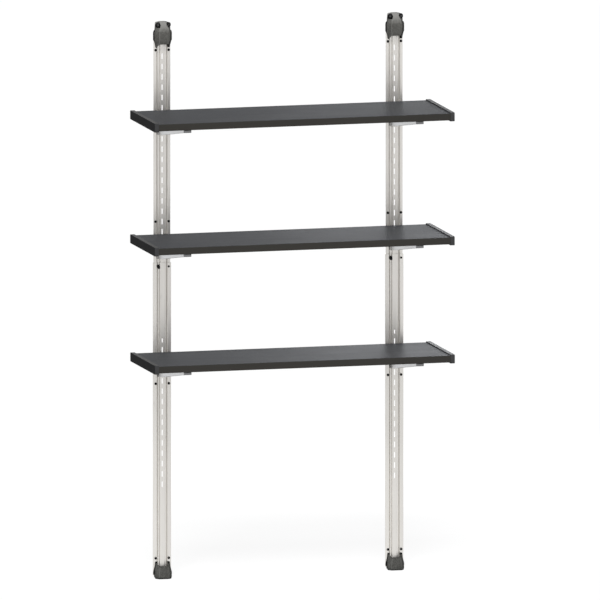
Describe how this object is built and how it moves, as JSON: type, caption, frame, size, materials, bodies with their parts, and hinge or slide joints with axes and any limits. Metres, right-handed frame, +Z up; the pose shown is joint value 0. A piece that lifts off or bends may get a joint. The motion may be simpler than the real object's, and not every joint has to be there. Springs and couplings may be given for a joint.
{
  "type": "wall shelving unit",
  "caption": "Wall shelving unit with telescoping slotted posts, dark flat shelves on hooked brackets, moulded heads fixed to the wall and moulded feet on the floor.",
  "frame": {"origin": "on the floor, midway between the two posts and midway through the overall depth", "axes": "+X to the right along the shelves as seen from the front, +Y from the front towards the wall, +Z up"},
  "size_m": [0.95, 0.335, 1.723],
  "materials": {
    "post_aluminium": "brushed along the post, clear anodised",
    "bracket_metal": "silver grey powder coat, satin",
    "shelf_anthracite": "anthracite powder coat, fine texture, satin",
    "cap_black": "black moulded plastic, fine grain",
    "head_grey": "warm grey moulded plastic, fine grain",
    "foot_grey": "dark grey moulded plastic, fine grain",
    "tip_grey": "mid grey moulded plastic",
    "sole_rubber": "black rubber, dull",
    "screw_black": "black oxide steel, semi-gloss",
    "knob_black": "black moulded plastic, satin"
  },
  "bodies": {
    "lower_frame": {"left_lower_post": "post_aluminium", "left_foot": "foot_grey", "left_foot_sole": "sole_rubber", "left_clamp_screw": "screw_black", "left_lower_post_lower_left_screw": "screw_black", "left_lower_post_lower_right_screw": "screw_black", "left_lower_post_upper_left_screw": "screw_black", "left_lower_post_upper_right_screw": "screw_black", "right_lower_post": "post_aluminium", "right_foot": "foot_grey", "right_foot_sole": "sole_rubber", "right_clamp_screw": "screw_black", "right_lower_post_lower_left_screw": "screw_black", "right_lower_post_lower_right_screw": "screw_black", "right_lower_post_upper_left_screw": "screw_black", "right_lower_post_upper_right_screw": "screw_black"},
    "upper_frame": {"left_upper_post": "post_aluminium", "left_head": "head_grey", "left_head_left_screw": "screw_black", "left_head_right_screw": "screw_black", "left_upper_post_lower_left_screw": "screw_black", "left_upper_post_lower_right_screw": "screw_black", "left_upper_post_upper_left_screw": "screw_black", "left_upper_post_upper_right_screw": "screw_black", "right_upper_post": "post_aluminium", "right_head": "head_grey", "right_head_left_screw": "screw_black", "right_head_right_screw": "screw_black", "right_upper_post_lower_left_screw": "screw_black", "right_upper_post_lower_right_screw": "screw_black", "right_upper_post_upper_left_screw": "screw_black", "right_upper_post_upper_right_screw": "screw_black"},
    "left_lock_knob": {"left_lock_knob": "knob_black"},
    "right_lock_knob": {"right_lock_knob": "knob_black"},
    "bottom_shelf": {"bottom_shelf_panel": "shelf_anthracite", "bottom_shelf_left_cap": "cap_black", "bottom_shelf_left_bracket": "bracket_metal", "bottom_shelf_left_bracket_tip": "tip_grey", "bottom_shelf_right_cap": "cap_black", "bottom_shelf_right_bracket": "bracket_metal", "bottom_shelf_right_bracket_tip": "tip_grey"},
    "middle_shelf": {"middle_shelf_panel": "shelf_anthracite", "middle_shelf_left_cap": "cap_black", "middle_shelf_left_bracket": "bracket_metal", "middle_shelf_left_bracket_tip": "tip_grey", "middle_shelf_right_cap": "cap_black", "middle_shelf_right_bracket": "bracket_metal", "middle_shelf_right_bracket_tip": "tip_grey"},
    "top_shelf": {"top_shelf_panel": "shelf_anthracite", "top_shelf_left_cap": "cap_black", "top_shelf_left_bracket": "bracket_metal", "top_shelf_left_bracket_tip": "tip_grey", "top_shelf_right_cap": "cap_black", "top_shelf_right_bracket": "bracket_metal", "top_shelf_right_bracket_tip": "tip_grey"}
  },
  "joints": [
    {"name": "height_adjust", "type": "slide", "parent": "lower_frame", "child": "upper_frame", "axis": [0, 0, 1], "range_m": [0, 0.128]},
    {"name": "bottom_shelf_lift", "type": "slide", "parent": "lower_frame", "child": "bottom_shelf", "axis": [0, 0, 1], "range_m": [0, 0.008]},
    {"name": "middle_shelf_lift", "type": "slide", "parent": "upper_frame", "child": "middle_shelf", "axis": [0, 0, 1], "range_m": [0, 0.008]},
    {"name": "top_shelf_lift", "type": "slide", "parent": "upper_frame", "child": "top_shelf", "axis": [0, 0, 1], "range_m": [0, 0.008]},
    {"name": "left_lock_turn", "type": "hinge", "parent": "lower_frame", "child": "left_lock_knob", "pos_m": [-0.3805, 0.1502, 0.964], "axis": [0, 1, 0], "range_deg": [0, 90]},
    {"name": "right_lock_turn", "type": "hinge", "parent": "lower_frame", "child": "right_lock_knob", "pos_m": [0.3555, 0.1502, 0.964], "axis": [0, 1, 0], "range_deg": [0, 90]}
  ]
}
